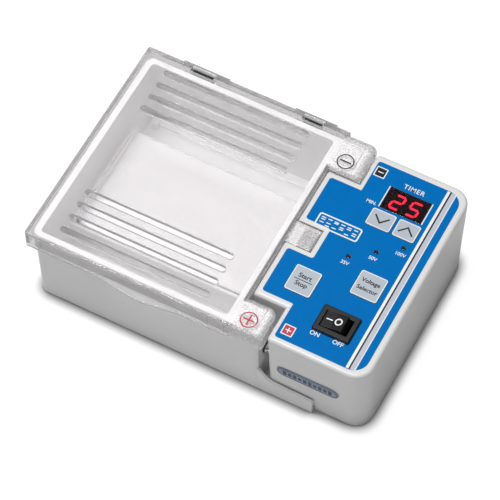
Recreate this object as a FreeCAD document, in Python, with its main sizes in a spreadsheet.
import FreeCAD, Part
import math
import os
import re
import Sketcher

# Mini gel electrophoresis tank with a docked power supply.
#
# Sizes are in millimetres. The layout is measured from the lid's left edge (x), the lid's
# front edge (y) and the table (z). Every sub-part is then placed so that the model's own
# origin lies at the centre of the whole object's footprint, on the table.

Vector = FreeCAD.Vector

DIMENSIONS = {
    # whole object
    "overall_length": 190.5,
    "case_top": 55.3,
    "foot_height": 0.8,
    "foot_radius": 5,
    "peg_radius": 2,
    "peg_length": 2.4,
    "running_clearance": 0.06,
    # tank shell
    "tank_left": 3,
    "tank_left_base": 4.3,
    "tank_front": 2.4,
    "tank_back": 125.6,
    "tank_right": 115.6,
    "ear_right": 131.3,
    "front_ear_back": 16.8,
    "back_ear_front": 108.4,
    "tank_wall": 3,
    "rim_top": 52.7,
    "chamber_floor": 6,
    "platform_top": 24.4,
    "platform_front": 31.5,
    "platform_back": 97.5,
    "platform_skin": 3,
    "ear_ceiling": 49,
    "tank_corner": 4,
    "cavity_corner": 2,
    # docking base under the power supply
    "base_right": 161.9,
    "base_plate": 2.5,
    "base_front": 2.4,
    "base_back": 125,
    "rail_width": 1.6,
    "rail_top": 12,
    "rail_end_top": 11,
    "rail_shoulder": 20,
    "shoulder_end": 140.5,
    # lid
    "lid_width": 118,
    "lid_depth": 130.6,
    "lid_skirt_bottom": 45,
    "lid_plate": 2.5,
    "lid_skirt": 2,
    "lid_front_ear_right": 134.4,
    "lid_front_ear_back": 19.3,
    "lid_back_ear_right": 135.4,
    "lid_back_ear_front": 105.3,
    "lid_back_ear_back": 129.6,
    "lid_ear_corner": 5,
    "ear_chamfer": 2.2,
    "lip_reach": 3.9,
    "lip_thickness": 1.8,
    "vent_start": 15,
    "vent_end": 100,
    "vent_width": 3.6,
    "vent_pitch": 8.3,
    "front_vents": 11,
    "back_vents": 94.4,
    "tab_right": 132.4,
    "tab_front": 56.3,
    "tab_back": 69.8,
    "tab_thickness": 4,
    "magnet_thickness": 2,
    "ear_pad_height": 0.3,
    "ear_pad_left": 117.2,
    "ear_pad_right": 129.4,
    # hinge
    "hinge_depth": 128.6,
    "hinge_height": 47.2,
    "knuckle_radius": 2.6,
    "bracket_reach": 2.4,
    "bracket_rise": 5,
    "bracket_slope": 0.8,
    "bracket_gap": 0.6,
    "pin_radius": 1,
    # electrodes and contacts
    "wire_radius": 0.25,
    "anode_depth": 12,
    "cathode_depth": 115.5,
    "wire_height": 9,
    "contact_height": 30,
    "anode_contact": 10.7,
    "cathode_contact": 117,
    "shank_radius": 1.5,
    "tip_radius": 2,
    "tip_end": 147.5,
    "lead_thickness": 0.8,
    # gel tray
    "tray_left": 9.5,
    "tray_right": 109.6,
    "tray_front": 33,
    "tray_back": 96,
    "tray_gap": 0.05,
    "tray_floor": 2.5,
    "tray_height": 5.5,
    "comb_notch_depth": 1.5,
    "comb_notch_width": 2,
    # power supply case
    "supply_left": 118.5,
    "supply_front": 1.5,
    "supply_back": 125.5,
    "supply_draft": 3.7,
    "supply_corner": 10,
    "inner_corner": 5,
    "supply_wall": 2.5,
    "top_round": 1.8,
    "notch_right": 136.5,
    "front_notch_back": 22,
    "back_notch_front": 104.6,
    "tab_notch_right": 133.1,
    "tab_notch_front": 55.9,
    "tab_notch_back": 70.6,
    "tab_notch_floor": 50.8,
    "dock_ceiling": 3.8,
    "dock_right": 162.5,
    "cover_thickness": 2.4,
    # control panel
    "overlay_thickness": 0.3,
    "overlay_left": 121.4,
    "overlay_right": 186.8,
    "overlay_front": 5,
    "overlay_back": 121.4,
    "overlay_ear_notch": 138.9,
    "overlay_tab_notch": 135.6,
    "overlay_front_notch": 25.6,
    "overlay_back_notch": 101.1,
    "overlay_tab_front": 53.5,
    "overlay_tab_back": 73.2,
    "panel_corner": 8,
    "panel_notch_corner": 1.5,
    "key_gap": 0.15,
    "key_proud": 0.35,
    "key_flange": 0.5,
    "key_corner": 1.2,
    "display_left": 151.2,
    "display_right": 174.2,
    "display_front": 96.5,
    "display_back": 110.3,
    "light_radius": 1.2,
    "board_height": 44,
    "board_thickness": 1.6,
    # power switch
    "switch_centre": 163.25,
    "switch_depth": 24.7,
    "bezel_length": 20.3,
    "bezel_width": 15.8,
    "bezel_height": 1.7,
    "opening_length": 15.2,
    "opening_width": 10,
    "housing_wall": 1,
    "housing_bottom": 36,
    "rocker_width": 9.5,
    "rocker_rise": 7,
    "rocker_pivot": 51.5,
    "rocker_tilt": 12,
    "trunnion_radius": 1.2,
    # sockets and DC inlet
    "socket_radius": 3,
    "socket_length": 14,
    "inlet_centre": 166,
    "inlet_height": 15,
    "inlet_radius": 4.2,
    "inlet_length": 14,
    "inlet_bore": 3,
}

# key name: left, front, right, back
KEYS = {
    "time_down_key": (148.9, 84.3, 162.2, 94.9),
    "time_up_key": (163.8, 84.3, 175.8, 94.9),
    "start_stop_key": (130.2, 31.7, 144.3, 47.2),
    "voltage_selector_key": (160.3, 44.2, 174.9, 59.2),
}
VOLTAGE_LIGHTS = ((150.6, 62.9), (161.9, 71.5), (173, 80))
# along x: the lid clip's left end, its window's two ends, its right end
HINGES = ((21, 26.4, 40, 47.7), (86.4, 91.7, 103.3, 110.3))
# left, front, right, back of the magnet in the lid's tab
MAGNET = ("tab_right - 8.2", "tab_front + 1.2", "tab_right - 1", "tab_back - 1.2")
CASE_SCREWS = ((126, 30), (126, 97), (184, 14), (184, 113))
SCREW_RADIUS, SCREW_HEAD_RADIUS, BOSS_RADIUS = 1.25, 2.6, 3.2
TANK_FEET = ((15, 13), (104, 13), (15, 114.5), (104, 114.5))
SUPPLY_FEET = ((172, 16), (172, 111))

doc = FreeCAD.newDocument("gel_tank")
sheet = doc.addObject("Spreadsheet::Sheet", "dims")
for row, (alias, number) in enumerate(DIMENSIONS.items(), start=1):
    sheet.set(f"A{row}", alias)
    sheet.set(f"B{row}", str(number))
    sheet.setAlias(f"B{row}", alias)
doc.recompute()

ORIGIN_X = "overall_length / 2"
ORIGIN_Y = "(hinge_depth + knuckle_radius - lip_reach) / 2"
sub_parts = []


# ---- expressions on the sheet -------------------------------------------------------------

def formula(text):
    """The expression with each dimension written as a cell of the sheet."""
    return re.sub(r"[a-z]+_[a-z_]+", lambda word: f"dims.{word.group()}", str(text))


def size_of(text):
    return float(sheet.evalExpression(formula(text)))


def bind(item, prop, text):
    item.setExpression(prop, formula(text))


def place(item, x=0, y=0, z=0):
    """Put the item at a layout position, in the model's own frame."""
    bind(item, "Placement.Base.x", f"{x} - {ORIGIN_X}")
    bind(item, "Placement.Base.y", f"{y} - {ORIGIN_Y}")
    bind(item, "Placement.Base.z", z)


def keep(item, label):
    item.Label = label
    sub_parts.append(item)
    return item


# ---- sketches -----------------------------------------------------------------------------

def pin_point(sketch, geometry, vertex, x, y):
    """Fix a sketch point by its two distances from the sketch's origin."""
    for kind, text in (("DistanceX", x), ("DistanceY", y)):
        number = sketch.addConstraint(
            Sketcher.Constraint(kind, -1, 1, geometry, vertex, size_of(text)))
        bind(sketch, f"Constraints[{number}]", text)


def polygon(*corners):
    """An outline with straight sides through the corners."""
    def draw(sketch):
        points = [Vector(size_of(x), size_of(y), 0) for x, y in corners]
        start = sketch.GeometryCount
        count = len(points)
        for i in range(count):
            sketch.addGeometry(Part.LineSegment(points[i], points[(i + 1) % count]))
        for i in range(count):
            after = start + (i + 1) % count
            sketch.addConstraint(Sketcher.Constraint("Coincident", start + i, 2, after, 1))
            pin_point(sketch, start + i, 1, *corners[i])
    return draw


def rounded_outline(*corners):
    """An outline of sides along x and y, with each corner given as x, y and its radius."""
    def draw(sketch):
        count = len(corners)
        points = [Vector(size_of(x), size_of(y), 0) for x, y, _ in corners]
        ways = [(points[(i + 1) % count] - points[i]).normalize() for i in range(count)]
        sides = []
        for i in range(count):
            ends = []
            for (x, y, radius), point, sign in ((corners[i], points[i], 1),
                                                (corners[(i + 1) % count],
                                                 points[(i + 1) % count], -1)):
                along = ways[i] * sign
                ends.append((f"{x} + {round(along.x)} * {radius}",
                             f"{y} + {round(along.y)} * {radius}",
                             point + along * size_of(radius)))
            side = sketch.addGeometry(Part.LineSegment(ends[0][2], ends[1][2]))
            for vertex, (x, y, _) in enumerate(ends, start=1):
                pin_point(sketch, side, vertex, x, y)
            sides.append(side)
        for i in range(count):
            radius = size_of(corners[i][2])
            before, after = ways[i - 1], ways[i]
            start, end = points[i] - before * radius, points[i] + after * radius
            centre = start + after * radius
            middle = centre + (points[i] - centre).normalize() * radius
            arc = sketch.addGeometry(Part.Arc(start, middle, end))
            at_start = sketch.getPoint(arc, 1).distanceToPoint(start) < 1e-6
            for side, vertex, arc_end in ((sides[i - 1], 2, 1 if at_start else 2),
                                          (sides[i], 1, 2 if at_start else 1)):
                sketch.addConstraint(
                    Sketcher.Constraint("Coincident", side, vertex, arc, arc_end))
            number = sketch.addConstraint(Sketcher.Constraint("Radius", arc, radius))
            bind(sketch, f"Constraints[{number}]", corners[i][2])
    return draw


def rectangle(left, low, right, high):
    return polygon((left, low), (right, low), (right, high), (left, high))


def circle(x, y, radius):
    def draw(sketch):
        centre = Vector(size_of(x), size_of(y), 0)
        ring = sketch.addGeometry(Part.Circle(centre, Vector(0, 0, 1), size_of(radius)))
        pin_point(sketch, ring, 3, x, y)
        number = sketch.addConstraint(Sketcher.Constraint("Radius", ring, size_of(radius)))
        bind(sketch, f"Constraints[{number}]", radius)
    return draw


def slot(left, right, y, width):
    """A slot along x with round ends."""
    def draw(sketch):
        radius = size_of(width) / 2
        ends = ((f"{left} + {width} / 2", 0.5, 1.5), (f"{right} - {width} / 2", -0.5, 0.5))
        arcs = []
        for x, first, last in ends:
            centre = Vector(size_of(x), size_of(y), 0)
            round_end = Part.Circle(centre, Vector(0, 0, 1), radius)
            half_turn = Part.ArcOfCircle(round_end, first * math.pi, last * math.pi)
            arc = sketch.addGeometry(half_turn)
            pin_point(sketch, arc, 3, x, y)
            arcs.append(arc)
        for arc_a, end_a, arc_b, end_b in ((0, 1, 1, 2), (0, 2, 1, 1)):
            points = [sketch.getPoint(arcs[arc_a], end_a), sketch.getPoint(arcs[arc_b], end_b)]
            side = sketch.addGeometry(Part.LineSegment(*points))
            for vertex, arc, end in ((1, arcs[arc_a], end_a), (2, arcs[arc_b], end_b)):
                sketch.addConstraint(Sketcher.Constraint("Tangent", side, vertex, arc, end))
        number = sketch.addConstraint(Sketcher.Constraint("Radius", arcs[0], radius))
        bind(sketch, f"Constraints[{number}]", f"{width} / 2")
    return draw


def sketch_on(body, plane, level, *outlines):
    """A sketch parallel to one of the body's planes, at a level along its axis."""
    sketch = body.newObject("Sketcher::SketchObject", "outline")
    role = {"z": "XY_Plane", "y": "XZ_Plane", "x": "YZ_Plane"}[plane]
    support = [item for item in body.Origin.OriginFeatures if item.Role == role][0]
    sketch.AttachmentSupport = (support, [""])
    sketch.MapMode = "FlatFace"
    sign = "-1 * " if plane == "y" else ""
    bind(sketch, "AttachmentOffset.Base.z", f"{sign}({level})")
    for draw in outlines:
        draw(sketch)
    return sketch


# ---- PartDesign features ------------------------------------------------------------------

def loose_body(name):
    body = doc.addObject("PartDesign::Body", name)
    place(body)
    return body


def new_body(label):
    return keep(loose_body(label), label)


def recompute_and_check(body, feature):
    doc.recompute()
    if "Invalid" in feature.State or feature.Shape.isNull() or not feature.Shape.isValid():
        raise RuntimeError(f"{feature.Name} in {body.Label} failed")


def extrude(kind, body, plane, start, end, outlines):
    sketch = sketch_on(body, plane, start, *outlines)
    feature = body.newObject(f"PartDesign::{kind}", kind.lower())
    feature.Profile = sketch
    bind(feature, "Length", f"({end}) - ({start})")
    towards_plane_normal = kind == "Pad"
    feature.Reversed = towards_plane_normal == (plane == "y")
    recompute_and_check(body, feature)
    return feature


def pad(body, plane, start, end, *outlines):
    return extrude("Pad", body, plane, start, end, outlines)


def pocket(body, plane, start, end, *outlines):
    before = body.Shape.Volume
    feature = extrude("Pocket", body, plane, start, end, outlines)
    if body.Shape.Volume >= before - 1e-6:
        raise RuntimeError(f"a pocket in {body.Label} cuts nothing")
    return feature


def lean_out(body, angle, axis, levels, inside=False):
    """Lean flat faces at these layout positions outward as they rise from the table.

    Faces inside a hollow lean the same way as the outer faces, so the wall stays even.
    """
    places = [size_of(level) for level in levels]
    tip = body.Tip
    names = []
    for i, face in enumerate(tip.Shape.Faces, start=1):
        low, high = (getattr(face.BoundBox, axis + end) for end in ("Min", "Max"))
        if high - low < 0.01 and any(abs(low - place) < 0.01 for place in places):
            names.append(f"Face{i}")
    feature = body.newObject("PartDesign::Draft", "draft")
    feature.Base = (tip, names)
    table = [item for item in body.Origin.OriginFeatures if item.Role == "XY_Plane"][0]
    feature.NeutralPlane = (table, [""])
    feature.Reversed = not inside
    bind(feature, "Angle", angle)
    recompute_and_check(body, feature)
    return feature


def dress(kind, body, radius, choose):
    """Round or chamfer the edges of the body's tip that the test picks."""
    tip = body.Tip
    names = [f"Edge{i}" for i, edge in enumerate(tip.Shape.Edges, start=1) if choose(edge)]
    if not names:
        raise RuntimeError(f"no edge found to dress on {body.Label}")
    feature = body.newObject(f"PartDesign::{kind}", kind.lower())
    feature.Base = (tip, names)
    bind(feature, "Radius" if kind == "Fillet" else "Size", radius)
    recompute_and_check(body, feature)
    return feature


def upright_at(*places, low=-1e9, high=1e9, reach=2.5):
    """A test for edges that rise at one of the layout places."""
    spots = [(size_of(x), size_of(y)) for x, y in places]

    def choose(edge):
        box = edge.BoundBox
        if box.ZLength < 0.8 * edge.Length or box.ZMin < low or box.ZMax > high:
            return False
        x = (box.XMin + box.XMax) / 2
        y = (box.YMin + box.YMax) / 2
        return any(abs(x - a) < reach and abs(y - b) < reach for a, b in spots)
    return choose


def level_at(z, inside=None):
    """A test for edges that lie at a height, optionally within a layout box."""
    height = size_of(z)

    def choose(edge):
        box = edge.BoundBox
        if box.ZLength > 0.01 or abs(box.ZMin - height) > 0.01:
            return False
        if inside is None:
            return True
        left, front, right, back = (size_of(limit) for limit in inside)
        return (box.XMin > left - 0.01 and box.XMax < right + 0.01
                and box.YMin > front - 0.01 and box.YMax < back + 0.01)
    return choose


# ---- Part primitives ----------------------------------------------------------------------

def block(left, front, low, right, back, high):
    item = doc.addObject("Part::Box", "block")
    bind(item, "Length", f"({right}) - ({left})")
    bind(item, "Width", f"({back}) - ({front})")
    bind(item, "Height", f"({high}) - ({low})")
    place(item, left, front, low)
    return item


def rod(axis, x, y, z, radius, length):
    """A cylinder that starts at the layout position and runs along the axis."""
    item = doc.addObject("Part::Cylinder", "rod")
    bind(item, "Radius", radius)
    bind(item, "Height", length)
    turns = {"x": (Vector(0, 1, 0), 90), "y": (Vector(1, 0, 0), -90), "z": (Vector(0, 0, 1), 0)}
    item.Placement.Rotation = FreeCAD.Rotation(*turns[axis])
    place(item, x, y, z)
    return item


def fuse(*pieces):
    item = doc.addObject("Part::MultiFuse", "fuse")
    item.Shapes = list(pieces)
    return item


def cut(base, tool):
    item = doc.addObject("Part::Cut", "cut")
    item.Base = base
    item.Tool = tool
    return item


def rounded(base, radius, edges):
    """The piece with chosen edges rounded."""
    doc.recompute()
    item = doc.addObject("Part::Fillet", "rounded")
    item.Base = base
    numbers = [i for i, edge in enumerate(base.Shape.Edges, start=1) if edges(edge)]
    item.Edges = [(i, size_of(radius), size_of(radius)) for i in numbers]
    return item


def group(label, pieces):
    item = doc.addObject("Part::Compound", label)
    item.Links = pieces
    return keep(item, label)


def rises(edge):
    return edge.BoundBox.ZLength > 0.9 * edge.Length


# ---- tank ---------------------------------------------------------------------------------

def make_tank_shell():
    body = new_body("tank_shell")
    pad(body, "z", "foot_height", "rim_top", polygon(
        ("tank_left_base", "tank_front"), ("ear_right", "tank_front"),
        ("ear_right", "front_ear_back"), ("tank_right", "front_ear_back"),
        ("tank_right", "back_ear_front"), ("ear_right", "back_ear_front"),
        ("ear_right", "tank_back"), ("tank_left_base", "tank_back")))
    lean_out(body, "atan((tank_left_base - tank_left) / rim_top)", "X", ["tank_left_base"])
    dress("Fillet", body, "tank_corner",
          upright_at(("tank_left", "tank_front"), ("tank_left", "tank_back")))
    dress("Fillet", body, "1.5", upright_at(
        ("ear_right", "tank_front"), ("ear_right", "front_ear_back"),
        ("ear_right", "back_ear_front"), ("ear_right", "tank_back"), reach=0.5))

    # basin: two chambers with the platform between them
    left = "tank_left + tank_wall + 0.5"
    right = "tank_right - tank_wall"
    front = "tank_front + tank_wall"
    back = "tank_back - tank_wall"
    pocket(body, "z", "platform_top", "rim_top", rectangle(left, front, right, back))
    pocket(body, "z", "chamber_floor", "platform_top",
           rectangle(left, front, right, "platform_front"))
    pocket(body, "z", "chamber_floor", "platform_top",
           rectangle(left, "platform_back", right, back))
    dress("Fillet", body, "cavity_corner", upright_at(
        (left, front), (right, front), (left, back), (right, back), reach=0.5))
    dress("Fillet", body, "1.2", level_at(
        "platform_top", (left, "platform_front - 1", right, "platform_back + 1")))

    # docking base with its two rails, hollow platform and hollow ears
    pad(body, "z", "foot_height", "foot_height + base_plate",
        rectangle("tank_right - 1", "base_front", "base_right", "base_back"))
    rail = polygon(("ear_right - 0.5", "foot_height"), ("base_right", "foot_height"),
                   ("base_right", "rail_end_top"), ("shoulder_end", "rail_top"),
                   ("shoulder_end - 3.8", "rail_top + 1.3"), ("ear_right", "rail_shoulder"),
                   ("ear_right - 0.5", "rail_shoulder"))
    pad(body, "y", "base_front", "base_front + rail_width", rail)
    pad(body, "y", "base_back - rail_width", "base_back", rail)
    pocket(body, "z", "foot_height", "platform_top - platform_skin",
           rectangle(f"{left} + 3", "platform_front + 3", f"{right} - 3", "platform_back - 3"))
    for low, high in (("tank_front + 3", "front_ear_back - 3"),
                      ("back_ear_front + 3", "tank_back - 3")):
        pocket(body, "z", "foot_height", "ear_ceiling",
               rectangle("tank_right", low, "ear_right - tank_wall", high))

    # holes for the contact pins and the feet
    for depth in ("anode_contact", "cathode_contact"):
        pocket(body, "x", "tank_right - tank_wall - 1", "ear_right + 1",
               circle(depth, "contact_height", "shank_radius"))
    for x, y in TANK_FEET:
        pocket(body, "z", "foot_height - 0.5", "foot_height + peg_length",
               circle(x, y, "peg_radius"))


def make_hinge_brackets():
    """Two dark brackets on the tank's back wall that the lid's pins turn in."""
    brackets = []
    for _, start, end, _ in HINGES:
        body = loose_body("bracket")
        low, high = f"{start} + bracket_gap", f"{end} - bracket_gap"
        top = "hinge_height + bracket_rise"
        pad(body, "x", low, high, polygon(
            ("tank_back", f"{top} - bracket_slope"), ("hinge_depth - 1.5", top),
            ("hinge_depth + 1.5", top),
            ("hinge_depth + bracket_reach", f"{top} - bracket_slope"),
            ("hinge_depth + bracket_reach", "hinge_height - bracket_reach"),
            ("tank_back", "hinge_height - 9")))
        pocket(body, "x", start, end,
               circle("hinge_depth", "hinge_height", "pin_radius + running_clearance"))
        brackets.append(body)
    group("hinge_brackets", brackets)


def make_foot(x, y):
    sole = rounded(rod("z", x, y, 0, "foot_radius", "foot_height"), "0.3",
                   lambda edge: edge.BoundBox.ZMax < 0.01)
    return fuse(sole, rod("z", x, y, 0.4, "peg_radius", "foot_height + peg_length - 0.4"))


def make_electrodes():
    lead_left = "(tank_right - tank_wall - lead_thickness)"
    wires = (("anode_wire", "anode_depth", "anode_contact"),
             ("cathode_wire", "cathode_depth", "cathode_contact"))
    posts, leads, pins, seals, nuts = [], [], [], [], []
    for name, depth, contact in wires:
        wire = rod("x", 9, depth, "wire_height", "wire_radius", f"{lead_left} - 9")
        keep(wire, name)
        for x in (11, 104):
            post = block(x - 1.5, f"{depth} - 2", "chamber_floor", x + 1.5, f"{depth} + 2",
                         "wire_height + 2")
            post = rounded(post, "0.6", rises)
            posts.append(cut(post, rod("x", x - 3, depth, "wire_height", "wire_radius", 6)))

        # strip from the wire up the inner wall to the pin
        strip = fuse(
            block(lead_left, f"{depth} - 1.5", "wire_height - 1.5",
                  f"{lead_left} + lead_thickness", f"{depth} + 1.5", "contact_height - 2"),
            block(lead_left, f"min({depth}; {contact}) - 2.2", "contact_height - 3",
                  f"{lead_left} + lead_thickness", f"max({depth}; {contact}) + 2.2",
                  "contact_height + 3"))
        hole = rod("x", f"{lead_left} - 1", contact, "contact_height", "shank_radius", 4)
        leads.append(cut(strip, hole))

        # pin: head in the basin, shank through both walls, round-nosed tip outside
        head = rod("x", f"{lead_left} - 1", contact, "contact_height", 2.6, 1)
        shank = rod("x", f"{lead_left} - 1", contact, "contact_height", "shank_radius",
                    f"ear_right + 3 - {lead_left}")
        collar = rod("x", "ear_right + 0.8", contact, "contact_height", 2.8, 1)
        tip = rounded(rod("x", "ear_right + 1.8", contact, "contact_height", "tip_radius",
                          "tip_end - ear_right - 1.8"), "1.4",
                      lambda edge: edge.BoundBox.XLength < 0.01
                      and edge.BoundBox.XMin > size_of(f"tip_end - {ORIGIN_X}") - 0.01)
        pins.append(fuse(head, shank, collar, tip))
        seals.append(cut(rod("x", "ear_right", contact, "contact_height", 3.2, 0.8),
                         rod("x", "ear_right - 1", contact, "contact_height",
                             "shank_radius", 4)))
        nut = doc.addObject("Part::Prism", "nut")
        nut.Polygon = 6
        nut.Circumradius = 3
        nut.Height = 2
        nut.Placement.Rotation = FreeCAD.Rotation(Vector(0, 1, 0), 90)
        place(nut, "ear_right - tank_wall - 2", contact, "contact_height")
        nuts.append(cut(nut, rod("x", "ear_right - 8", contact, "contact_height",
                                 "shank_radius", 6)))
    group("wire_posts", posts)
    group("contact_leads", leads)
    group("contact_pins", pins)
    group("contact_seals", seals)
    group("contact_nuts", nuts)


def make_gel_tray():
    body = new_body("gel_tray")
    bottom = "platform_top + tray_gap"
    pad(body, "z", bottom, f"{bottom} + tray_height",
        rectangle("tray_left", "tray_front", "tray_right", "tray_back"))
    dress("Fillet", body, "1", upright_at(
        ("tray_left", "tray_front"), ("tray_right", "tray_front"),
        ("tray_left", "tray_back"), ("tray_right", "tray_back")))
    channel = polygon(("tray_left + 2.4", f"{bottom} + tray_floor"),
                      ("tray_right - 2.4", f"{bottom} + tray_floor"),
                      ("tray_right - 2.4", f"{bottom} + tray_height + 1"),
                      ("tray_left + 2.4", f"{bottom} + tray_height + 1"))
    pocket(body, "y", "tray_front - 1", "tray_back + 1", channel)
    for y in ("tray_front + 8", "(tray_front + tray_back) / 2"):
        pocket(body, "z", f"{bottom} + tray_height - comb_notch_depth",
               f"{bottom} + tray_height",
               rectangle("tray_left - 1", y, "tray_right + 1", f"{y} + comb_notch_width"))


# ---- lid ----------------------------------------------------------------------------------

def lid_outline(inset):
    """The lid's outline, drawn in by an inset."""
    return polygon(
        (inset, inset), (f"lid_front_ear_right - {inset}", inset),
        (f"lid_front_ear_right - {inset}", f"lid_front_ear_back - {inset}"),
        (f"lid_width - {inset}", f"lid_front_ear_back - {inset}"),
        (f"lid_width - {inset}", f"lid_back_ear_front + {inset}"),
        (f"lid_back_ear_right - {inset}", f"lid_back_ear_front + {inset}"),
        (f"lid_back_ear_right - {inset}", f"lid_back_ear_back - {inset}"),
        (f"lid_width - {inset}", f"lid_back_ear_back - {inset}"),
        (f"lid_width - {inset}", f"lid_depth - {inset}"),
        (inset, f"lid_depth - {inset}"))


def finger_lip(sketch):
    """A thin flange along the front that swells to the finger lip near its middle."""
    shares = [(37, 0.18), (52, 0.62), (66, 1), (79, 0.69), (91, 0.33)]
    curve = Part.BSplineCurve()
    points = [Vector(x, -share * size_of("lip_reach"), 0) for x, share in shares]
    curve.interpolate(points, InitialTangent=Vector(1, -0.02, 0), FinalTangent=Vector(1, 0.02, 0))
    start, end = points[0], points[-1]
    left, right = Vector(1.5, start.y, 0), Vector(size_of("lid_width - 2"), end.y, 0)
    corners = [left, Vector(left.x, 1, 0), Vector(right.x, 1, 0), right]
    sketch.addGeometry(curve)
    sketch.addGeometry(Part.LineSegment(end, right))
    sketch.addGeometry(Part.LineSegment(right, corners[2]))
    sketch.addGeometry(Part.LineSegment(corners[2], corners[1]))
    sketch.addGeometry(Part.LineSegment(corners[1], left))
    sketch.addGeometry(Part.LineSegment(left, start))


def make_lid_cover():
    body = new_body("lid_cover")
    skirt, under_plate = "lid_skirt", "case_top - lid_plate"
    pad(body, "z", "lid_skirt_bottom", "case_top", lid_outline(0.001))
    dress("Fillet", body, "1.5", upright_at((0, 0), (0, "lid_depth"), reach=0.3))
    dress("Fillet", body, "lid_ear_corner", upright_at(
        ("lid_front_ear_right", "lid_front_ear_back"),
        ("lid_back_ear_right", "lid_back_ear_back"), reach=0.3))
    ear_fronts = (0, size_of("lid_back_ear_front"))
    dress("Chamfer", body, "ear_chamfer", lambda edge: (
        level_at("case_top")(edge) and edge.BoundBox.XMax > size_of("lid_width") + 1
        and not any(abs(edge.BoundBox.YMax - front) < 0.1 for front in ear_fronts)))
    dress("Fillet", body, "0.7", lambda edge: (
        level_at("case_top")(edge) and edge.BoundBox.XMax < size_of("lid_width") + 0.1
        and (edge.BoundBox.XMax < 2 or edge.BoundBox.YMin > size_of("lid_depth") - 2)))
    pocket(body, "z", "lid_skirt_bottom", under_plate, lid_outline(skirt))
    dress("Fillet", body, "lid_ear_corner - lid_skirt", upright_at(
        (f"lid_front_ear_right - {skirt}", f"lid_front_ear_back - {skirt}"),
        (f"lid_back_ear_right - {skirt}", f"lid_back_ear_back - {skirt}"), reach=0.3))

    # vent slots: one front and one back slot, repeated
    first = pocket(body, "z", under_plate, "case_top",
                   slot("vent_start", "vent_end", "front_vents", "vent_width"),
                   slot("vent_start", "vent_end", "back_vents", "vent_width"))
    pattern = body.newObject("PartDesign::LinearPattern", "vents")
    pattern.Originals = [first]
    pattern.Direction = (first.Profile[0], ["V_Axis"])
    pattern.Occurrences = 4
    bind(pattern, "Length", "3 * vent_pitch")
    body.Tip = pattern
    doc.recompute()

    # raised pads on the ears, with a low rib behind the back one
    for low, high in ((4.6, 17), (110.6, 122.6), (123.6, 125.2)):
        pad(body, "z", "case_top", "case_top + ear_pad_height",
            rectangle("ear_pad_left", low, "ear_pad_right", high))

    # finger lip, catch ribs and the tab
    pad(body, "z", "lid_skirt_bottom", "lid_skirt_bottom + lip_thickness", finger_lip)
    for x in (8.4, 103.4, 112.4):
        pad(body, "z", "lid_skirt_bottom", "case_top - 1", rectangle(x, -0.6, x + 1.2, 0.5))
    tab_bottom = "case_top - tab_thickness"
    pad(body, "z", tab_bottom, "case_top",
        rectangle("lid_width - 1", "tab_front", "tab_right", "tab_back"))
    dress("Fillet", body, "1.2", upright_at(
        ("tab_right", "tab_front"), ("tab_right", "tab_back"), reach=0.3))
    dress("Fillet", body, "0.6", level_at(
        "case_top", ("lid_width + 0.5", "tab_front", "tab_right", "tab_back")))
    pocket(body, "z", tab_bottom, f"{tab_bottom} + magnet_thickness", rectangle(*MAGNET))

    # hinge: clips on the back edge, knuckles round the pins, windows for the brackets
    knuckle = circle("hinge_depth", "hinge_height", "knuckle_radius")
    for left, window_left, window_right, right in HINGES:
        pad(body, "z", "lid_skirt_bottom", "case_top",
            rectangle(left, "lid_depth - 1", right, "hinge_depth + knuckle_radius"))
        pad(body, "x", left, window_left, knuckle)
        pad(body, "x", window_right, right, knuckle)
        pocket(body, "z", "lid_skirt_bottom", under_plate,
               rectangle(window_left, "hinge_depth - knuckle_radius - 0.2", window_right,
                         "lid_depth + 2"))
        pocket(body, "z", under_plate, "case_top",
               rectangle(window_left, "hinge_depth - 2", window_right, "hinge_depth + 1"))
        pocket(body, "x", left + 1, right - 1, circle("hinge_depth", "hinge_height", "pin_radius"))


def make_lid_fittings():
    group("hinge_pins", [rod("x", left + 1, "hinge_depth", "hinge_height", "pin_radius",
                             right - left - 2) for left, _, _, right in HINGES])
    bottom = "case_top - tab_thickness"
    left, front, right, back = MAGNET
    keep(block(left, front, bottom, right, back, f"{bottom} + magnet_thickness"),
         "interlock_magnet")


# ---- power supply case --------------------------------------------------------------------

def supply_ends(inset):
    """The right end of the case's plan at the table, with its corners cut inside the walls."""
    near = f"supply_front + supply_draft + {inset}"
    far = f"supply_back - supply_draft - {inset}"
    right = f"overall_length - {inset}"
    if inset == 0:
        return near, far, ((right, near), (right, far))
    return near, far, ((f"{right} - inner_corner", near), (right, f"{near} + inner_corner"),
                       (right, f"{far} - inner_corner"), (f"{right} - inner_corner", far))


def supply_outline(inset):
    """The case's plan at the table, with its two ear notches, drawn in by an inset."""
    near, far, right_end = supply_ends(inset)
    left, notch = f"supply_left + {inset}", f"notch_right + {inset}"
    low, high = f"front_notch_back + {inset}", f"back_notch_front - {inset}"
    return polygon((left, low), (notch, low), (notch, near), *right_end,
                   (notch, far), (notch, high), (left, high))


def panel_outline():
    left, right = "overlay_left", "overlay_right"
    front, back = "overlay_front", "overlay_back"
    ear, tab = "overlay_ear_notch", "overlay_tab_notch"
    large, small = "panel_corner", "panel_notch_corner"
    return rounded_outline(
        (ear, front, small), (right, front, large), (right, back, large), (ear, back, small),
        (ear, "overlay_back_notch", 0.5), (left, "overlay_back_notch", small),
        (left, "overlay_tab_back", small), (tab, "overlay_tab_back", small),
        (tab, "overlay_tab_front", small), (left, "overlay_tab_front", small),
        (left, "overlay_front_notch", small), (ear, "overlay_front_notch", 0.5))


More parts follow.
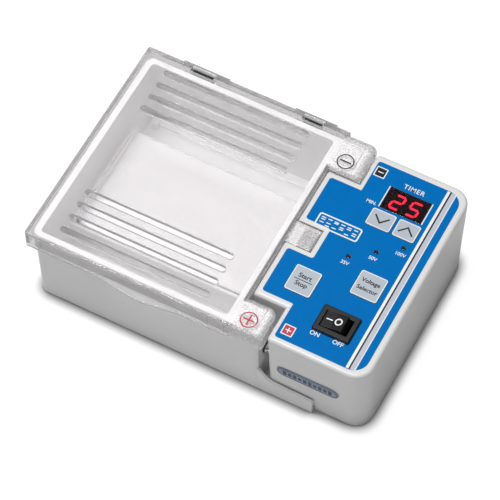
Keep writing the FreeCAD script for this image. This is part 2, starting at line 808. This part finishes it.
def panel_openings():
    """The outlines that the top plate and the overlay are both cut for."""
    corner = "(key_corner + key_gap)"
    openings = [rounded_outline((f"{left} - key_gap", f"{front} - key_gap", corner),
                                (f"{right} + key_gap", f"{front} - key_gap", corner),
                                (f"{right} + key_gap", f"{back} + key_gap", corner),
                                (f"{left} - key_gap", f"{back} + key_gap", corner))
                for left, front, right, back in KEYS.values()]
    openings.append(rectangle("display_left", "display_front", "display_right",
                              "display_back"))
    openings += [circle(x, y, "light_radius + 0.1") for x, y in VOLTAGE_LIGHTS]
    half_length = "(opening_length / 2 + housing_wall)"
    half_width = "(opening_width / 2 + housing_wall)"
    openings.append(rectangle(f"switch_centre - {half_length}", f"switch_depth - {half_width}",
                              f"switch_centre + {half_length}", f"switch_depth + {half_width}"))
    return openings


def make_upper_case():
    body = new_body("supply_upper_case")
    pad(body, "z", "foot_height", "case_top", supply_outline(0))
    draft_angle = "atan(supply_draft / case_top)"
    lean_out(body, draft_angle, "Y", ["supply_front + supply_draft",
                                      "supply_back - supply_draft"])
    right_ends = (("overall_length", "supply_front + supply_draft / 2"),
                  ("overall_length", "supply_back - supply_draft / 2"))
    dress("Fillet", body, "supply_corner", upright_at(*right_ends))
    notch_ends = (("notch_right", "supply_front + supply_draft / 2"),
                  ("notch_right", "supply_back - supply_draft / 2"))
    dress("Fillet", body, "2", upright_at(*notch_ends))
    dress("Fillet", body, "1.5", upright_at(
        ("supply_left", "front_notch_back"), ("supply_left", "back_notch_front"), reach=0.5))
    dress("Fillet", body, "top_round", level_at("case_top"))

    # hollow inside, open below
    pocket(body, "z", "foot_height", "case_top - supply_wall", supply_outline("supply_wall"))
    lean_out(body, draft_angle, "Y", ["supply_front + supply_draft + supply_wall",
                                      "supply_back - supply_draft - supply_wall"], inside=True)
    pocket(body, "z", "foot_height", "dock_ceiling",
           rectangle("supply_left - 1", 1, "dock_right", 126))

    # notch for the lid's tab, walled off from the inside
    pad(body, "z", "tab_notch_floor - supply_wall", "case_top - supply_wall",
        rectangle("supply_left + 0.5", "tab_notch_front - supply_wall",
                  "tab_notch_right + supply_wall", "tab_notch_back + supply_wall"))
    pocket(body, "z", "tab_notch_floor", "case_top",
           rectangle("supply_left - 1", "tab_notch_front", "tab_notch_right",
                     "tab_notch_back"))

    # screw bosses
    boss_bottom = "dock_ceiling + cover_thickness"
    for x, y in CASE_SCREWS:
        pad(body, "z", boss_bottom, "case_top - supply_wall + 0.1", circle(x, y, BOSS_RADIUS))
        pocket(body, "z", f"{boss_bottom} - 0.5", f"{boss_bottom} + 9",
               circle(x, y, SCREW_RADIUS))

    # recess for the overlay, then the openings
    recess_floor = "case_top - overlay_thickness"
    pocket(body, "z", recess_floor, "case_top + 0.2", panel_outline())
    pocket(body, "z", "case_top - 6", "case_top", *panel_openings())

    # holes for the contact sockets and the DC inlet
    for y in ("anode_contact", "cathode_contact"):
        pocket(body, "x", "notch_right - 1", "notch_right + supply_wall + 1",
               circle(y, "contact_height", "socket_radius"))
    pocket(body, "y", "supply_back - supply_draft - supply_wall - 2", "supply_back + 1",
           circle("inlet_centre", "inlet_height", "inlet_radius"))


def make_lower_case():
    body = new_body("supply_lower_case")
    inset = "supply_wall + 0.1"
    top = "dock_ceiling + cover_thickness"
    pad(body, "z", "dock_ceiling", top, supply_outline(f"({inset})"))
    near, far, right_end = supply_ends(f"({inset})")
    pad(body, "z", "foot_height", "dock_ceiling", polygon(
        ("dock_right + 1", near), *right_end, ("dock_right + 1", far)))
    for x, y in CASE_SCREWS:
        bottom = "foot_height" if x > 165 else "dock_ceiling"
        pocket(body, "z", bottom, top, circle(x, y, SCREW_RADIUS))
        pocket(body, "z", bottom, "dock_ceiling + 1", circle(x, y, SCREW_HEAD_RADIUS))
    for x, y in SUPPLY_FEET:
        pocket(body, "z", "foot_height - 0.5", "foot_height + peg_length",
               circle(x, y, "peg_radius"))
    for y in (60, 70, 80, 90):
        pocket(body, "z", "foot_height", top, slot(170, 184, y, "3"))


def make_case_screws():
    screws = []
    for x, y in CASE_SCREWS:
        head = rod("z", x, y, "dock_ceiling + 0.1", SCREW_HEAD_RADIUS, 0.9)
        shank = rod("z", x, y, "dock_ceiling + 0.9", SCREW_RADIUS, "cover_thickness + 7")
        socket = doc.addObject("Part::Box", "drive")
        socket.Length, socket.Width, socket.Height = 3.2, 0.7, 0.5
        place(socket, x - 1.6, y - 0.35, "dock_ceiling + 0.1")
        screws.append(cut(fuse(head, shank), socket))
    group("case_screws", screws)


# ---- control panel ------------------------------------------------------------------------

def make_overlay():
    body = new_body("control_overlay")
    low = "case_top - overlay_thickness"
    pad(body, "z", low, "case_top", panel_outline())
    pocket(body, "z", low, "case_top", *panel_openings())


def make_keys():
    top = "case_top + key_proud"
    for name, (left, front, right, back) in KEYS.items():
        body = new_body(name)
        pad(body, "z", "case_top - 2.9", top, rectangle(left, front, right, back))
        dress("Fillet", body, "key_corner", rises)
        dress("Fillet", body, "0.25", level_at(top))
        pad(body, "z", "case_top - 3.9", "case_top - 2.9", rectangle(
            f"{left} - key_flange", f"{front} - key_flange", f"{right} + key_flange",
            f"{back} + key_flange"))
        pad(body, "z", "case_top - 4.1", "case_top - 3.9",
            circle((left + right) / 2, (front + back) / 2, 2))


def make_display():
    window = block("display_left", "display_front", "case_top - 1", "display_right",
                   "display_back", "case_top")
    keep(window, "display_window")
    board_top = "board_height + board_thickness"
    keep(block("display_left + 0.3", "display_front + 0.3", board_top, "display_right - 0.3",
               "display_back - 0.3", "case_top - 1.3"), "timer_display")
    lights = []
    for x, y in VOLTAGE_LIGHTS:
        stem = rod("z", x, y, board_top, "light_radius", f"case_top - 0.2 - ({board_top})")
        dome_top = size_of("case_top") - 0.2
        lights.append(rounded(stem, "0.6", lambda edge: edge.BoundBox.ZMin > dome_top - 0.01))
    group("voltage_lights", lights)


def make_control_board():
    board = new_body("control_board")
    top = "board_height + board_thickness"
    pad(board, "z", "board_height", top, polygon(
        (130, 34), (179, 34), (179, 112), (140, 112), (140, 52.5), (130, 52.5)))
    switches = []
    for left, front, right, back in KEYS.values():
        x, y = (left + right) / 2, (front + back) / 2
        base = rounded(block(x - 3, y - 3, top, x + 3, y + 3, f"{top} + 3.5"), "0.4", rises)
        switches.append(fuse(base, rod("z", x, y, f"{top} + 3.4", 1.75, 1.4)))
    group("tact_switches", switches)
    corners = ((132.4, 50.2), (176.4, 37), (176.4, 109), (143, 109))
    group("board_spacers", [rod("z", x, y, top, 2, f"case_top - supply_wall - ({top})")
                            for x, y in corners])


# ---- power switch -------------------------------------------------------------------------

def switch_rectangle(half_length, half_width):
    return rectangle(f"switch_centre - ({half_length})", f"switch_depth - ({half_width})",
                     f"switch_centre + {half_length}", f"switch_depth + {half_width}")


def make_switch_housing():
    body = new_body("switch_housing")
    half_length, half_width = "opening_length / 2", "opening_width / 2"
    pad(body, "z", "case_top", "case_top + bezel_height",
        switch_rectangle("bezel_length / 2", "bezel_width / 2"))
    dress("Fillet", body, "0.8", rises)
    dress("Chamfer", body, "0.6", level_at("case_top + bezel_height"))
    pad(body, "z", "housing_bottom", "case_top",
        switch_rectangle(f"{half_length} + housing_wall", f"{half_width} + housing_wall"))
    pocket(body, "z", "housing_bottom + 4", "case_top + bezel_height",
           switch_rectangle(half_length, half_width))
    for side in ("switch_depth - opening_width / 2 - 0.6", "switch_depth + opening_width / 2"):
        pocket(body, "y", side, f"{side} + 0.6",
               circle("switch_centre", "rocker_pivot", "trunnion_radius + running_clearance"))


def make_rocker():
    """The rocker, its face all but flat: the profile is drawn level, then tilted left."""
    body = doc.addObject("PartDesign::Body", "power_rocker")
    front = "0 - rocker_width / 2"
    pad(body, "y", front, "rocker_width / 2", polygon(
        ("0 - 5.9", "rocker_rise"), ("0 - 6.5", 2), ("0 - 4.5", "0 - 4"), (4.5, "0 - 4"),
        (6.5, 2), (5.9, "rocker_rise"), (0, "rocker_rise - 0.3")))
    dress("Fillet", body, "0.5", lambda edge: (
        edge.BoundBox.ZMin > 5 and (edge.BoundBox.YLength > 5) and abs(edge.BoundBox.XMin) > 1))
    reach = "(opening_width / 2 + 0.5)"
    pad(body, "y", f"0 - {reach}", reach, circle(0, 0, "trunnion_radius"))
    body.Placement.Rotation = FreeCAD.Rotation(Vector(0, 1, 0), -size_of("rocker_tilt"))
    place(body, "switch_centre", "switch_depth", "rocker_pivot")
    keep(body, "power_rocker")


# ---- inside the power supply --------------------------------------------------------------

def make_power_electronics():
    cover_top = size_of("dock_ceiling + cover_thickness")
    board_low = cover_top + 2.5
    top = board_low + 1.6
    power_board = new_body("power_board")
    pad(power_board, "z", board_low, top, rectangle(144, 12, 178, 108))
    group("power_board_spacers", [rod("z", x, y, cover_top, 2.5, 2.5)
                                  for x, y in ((147, 15), (175, 15), (147, 105), (175, 105))])
    group("switch_terminals", [block(x, 21, "housing_bottom - 7", x + 0.8, 27.3,
                                     "housing_bottom") for x in (158, 162.9, 167.8)])

    # transformer: a frame of laminations with the winding through its window
    outer = block(147, 58, top, 175, 82, top + 24)
    window = block(152, 57, top + 5, 170, 83, top + 19)
    leg = block(158, 58, top + 4, 164, 82, top + 20)
    keep(fuse(cut(outer, window), leg), "transformer_core")
    coil = rounded(block(152, 54, top + 5, 170, 86, top + 19), "2",
                   lambda edge: edge.BoundBox.YLength < 0.01 and rises(edge))
    keep(cut(coil, block(158, 58, top + 4, 164, 82, top + 20)), "transformer_winding")

    group("capacitors", [rounded(rod("z", x, 97, top, 5, 21), "0.8",
                                 lambda edge: edge.BoundBox.ZLength < 0.01)
                         for x in (154, 168)])
    fins = [block(172 - 3 * i, 33, top, 173 - 3 * i, 49, top + 17) for i in range(4)]
    keep(fuse(block(162, 33, top, 174, 35, top + 20), *fins), "heat_sink")
    keep(rounded(block(164, 30, top + 4, 172, 33, top + 16), "0.5", rises), "power_transistor")

    # DC inlet through the back wall
    inlet_back = "supply_back - supply_draft + 1"
    axis = ("inlet_centre", "inlet_height")
    barrel = rod("y", axis[0], f"{inlet_back} - inlet_length", axis[1], "inlet_radius",
                 "inlet_length")
    bore = rod("y", axis[0], f"{inlet_back} - 10", axis[1], "inlet_bore", 11)
    centre_pin = rod("y", axis[0], f"{inlet_back} - 11", axis[1], 1, 9)
    keep(fuse(cut(barrel, bore), centre_pin), "dc_inlet")

    sockets = []
    for y in ("anode_contact", "cathode_contact"):
        tube = rod("x", "notch_right - 0.5", y, "contact_height", "socket_radius",
                   "socket_length")
        bore = rod("x", "notch_right - 1", y, "contact_height", "tip_radius + 0.1",
                   "socket_length - 1")
        sockets.append(cut(tube, bore))
    group("contact_sockets", sockets)
    sensor_top = "tab_notch_floor - supply_wall"
    keep(rounded(block(123, 58, f"{sensor_top} - 4", 131, 68.5, sensor_top), "0.6", rises),
         "lid_sensor")


def make_badge():
    """An oval plate on the sloping front of the power supply."""
    body = doc.addObject("PartDesign::Body", "name_badge")
    pad(body, "y", "0 - 0.6", 0, slot("0 - 17.2", 17.2, 0, "8"))
    dress("Fillet", body, "0.25", lambda edge: edge.BoundBox.YMax < size_of("0 - 0.59"))
    slope = "supply_draft / case_top"
    body.Placement.Rotation = FreeCAD.Rotation(Vector(1, 0, 0), size_of(f"atan({slope})"))
    height = 28
    place(body, 158.8, f"supply_front + (case_top - {height}) * {slope}", height)
    keep(body, "name_badge")


make_tank_shell()
make_hinge_brackets()
group("tank_feet", [make_foot(x, y) for x, y in TANK_FEET])
make_electrodes()
make_gel_tray()
make_lid_cover()
make_lid_fittings()
make_upper_case()
make_lower_case()
make_case_screws()
group("supply_feet", [make_foot(x, y) for x, y in SUPPLY_FEET])
make_overlay()
make_keys()
make_display()
make_control_board()
make_switch_housing()
make_rocker()
make_power_electronics()
make_badge()

doc.recompute()
faults = [f"{item.Label}: {item.State}" for item in doc.Objects
          if "Invalid" in item.State or "Error" in item.State]
faults += [f"{item.Label}: bad shape" for item in sub_parts
           if item.Shape.isNull() or not item.Shape.isValid()]
if faults:
    raise RuntimeError("; ".join(faults))

os.makedirs("parts", exist_ok=True)
for item in sub_parts:
    item.Shape.exportStep(f"parts/{item.Label}.step")
    box = item.Shape.BoundBox
    print(f"{item.Label:24s} solids {len(item.Shape.Solids)} volume {item.Shape.Volume:10.1f}"
          f"  x {box.XMin:7.2f} {box.XMax:7.2f}  y {box.YMin:7.2f} {box.YMax:7.2f}"
          f"  z {box.ZMin:6.2f} {box.ZMax:6.2f}")
